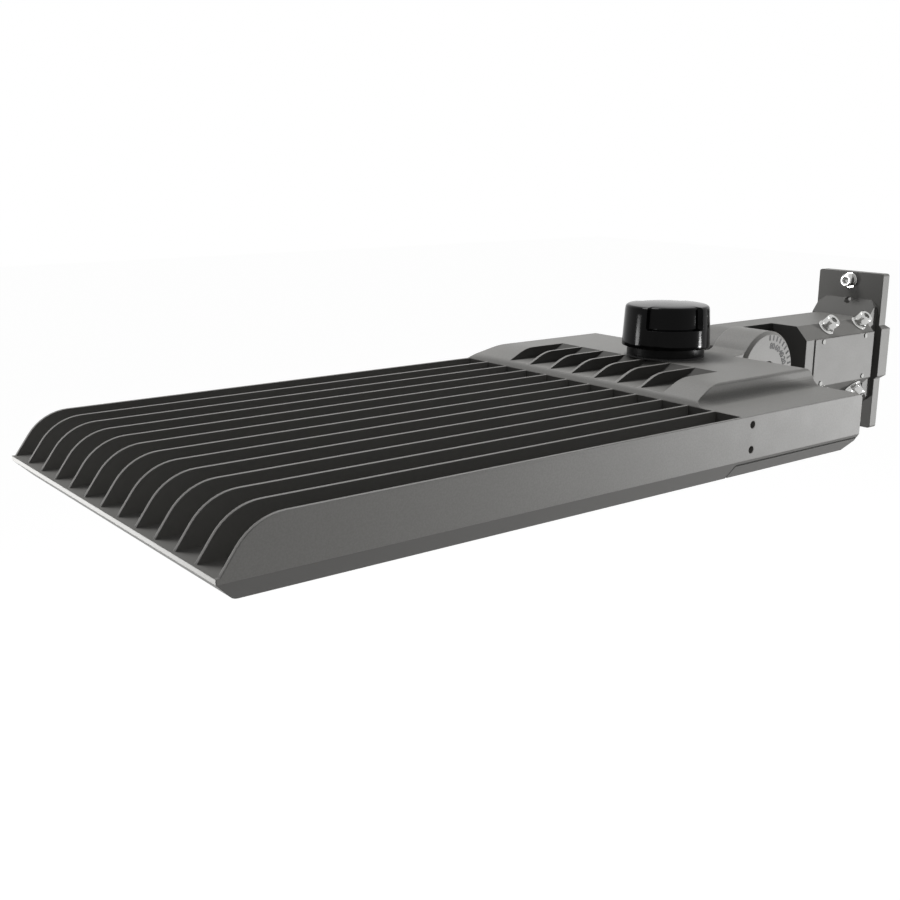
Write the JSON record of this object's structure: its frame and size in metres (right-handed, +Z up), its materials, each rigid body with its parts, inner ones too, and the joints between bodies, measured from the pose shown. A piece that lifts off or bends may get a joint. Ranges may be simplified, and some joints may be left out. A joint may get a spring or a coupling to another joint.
{
  "type": "shoebox area light",
  "caption": "Area light with a finned, flat rectangular head over lens panels, a humped driver compartment with a twist-lock cap, and a tilting arm on a pole plate.",
  "frame": {"origin": "centre of the wire entry at the pole-side face of the plate's pad", "axes": "+X out from the pole along the head, +Z up, +Y across the head to the side with the wide level shelf beside the hump"},
  "size_m": [0.878, 0.34, 0.1632],
  "materials": {
    "paint": "fine satin grey powder coat on die-cast aluminium",
    "board": "white solder mask on a circuit board",
    "chip": "yellow phosphor",
    "rubber": "matt dark silicone rubber",
    "lens": "clear moulded acrylic",
    "zinc": "bright zinc plate",
    "driver_case": "satin white case",
    "blue_case": "blue moulded case",
    "ivory": "ivory moulding",
    "green_screw": "green earth screw",
    "black_plastic": "satin black moulding",
    "gloss_cap": "glossy black moulding",
    "brass": "plain brass"
  },
  "bodies": {
    "arm": {"slip_fitter": "paint", "set_bolts": "zinc", "jam_nuts": "zinc", "side_plate": "paint", "side_plate_pins": "zinc", "friction_ring": "rubber", "pivot_bolt": "zinc", "pivot_washer": "zinc", "pivot_nut": "zinc", "pole_adaptor": "paint", "pole_gasket": "rubber", "pole_bolts": "zinc", "pole_washers": "zinc"},
    "head": {"housing": "paint", "led_boards": "board", "led_chips": "chip", "lens_gasket": "rubber", "lens_panels": "lens", "lens_frame": "paint", "frame_screws": "zinc", "led_driver": "driver_case", "driver_screws": "zinc", "surge_protector": "blue_case", "terminal_block": "ivory", "ground_screw": "green_screw", "wire_bushing": "rubber", "breather_vent": "black_plastic", "receptacle_gasket": "rubber", "door_hinge_pins": "zinc"},
    "door": {"driver_door": "paint", "door_gasket": "rubber", "door_screws": "zinc"},
    "receptacle": {"photocell_receptacle": "black_plastic", "receptacle_contacts": "brass", "receptacle_lock_ring": "black_plastic"},
    "cap": {"shorting_cap": "gloss_cap", "cap_blades": "brass", "cap_gasket": "rubber"}
  },
  "joints": [
    {"name": "head_tilt", "type": "hinge", "parent": "arm", "child": "head", "pos_m": [0.202, 0, 0], "axis": [0, -1, 0], "range_deg": [-15, 90]},
    {"name": "door_hinge", "type": "hinge", "parent": "head", "child": "door", "pos_m": [0.403, 0, -0.043], "axis": [0, -1, 0], "range_deg": [0, 95]},
    {"name": "receptacle_swivel", "type": "hinge", "parent": "head", "child": "receptacle", "pos_m": [0.297, -0.004, 0], "axis": [0, 0, 1], "range_deg": [-175, 175]},
    {"name": "cap_twist", "type": "hinge", "parent": "receptacle", "child": "cap", "pos_m": [0.297, -0.004, 0], "axis": [0, 0, 1], "range_deg": [0, 25]}
  ]
}
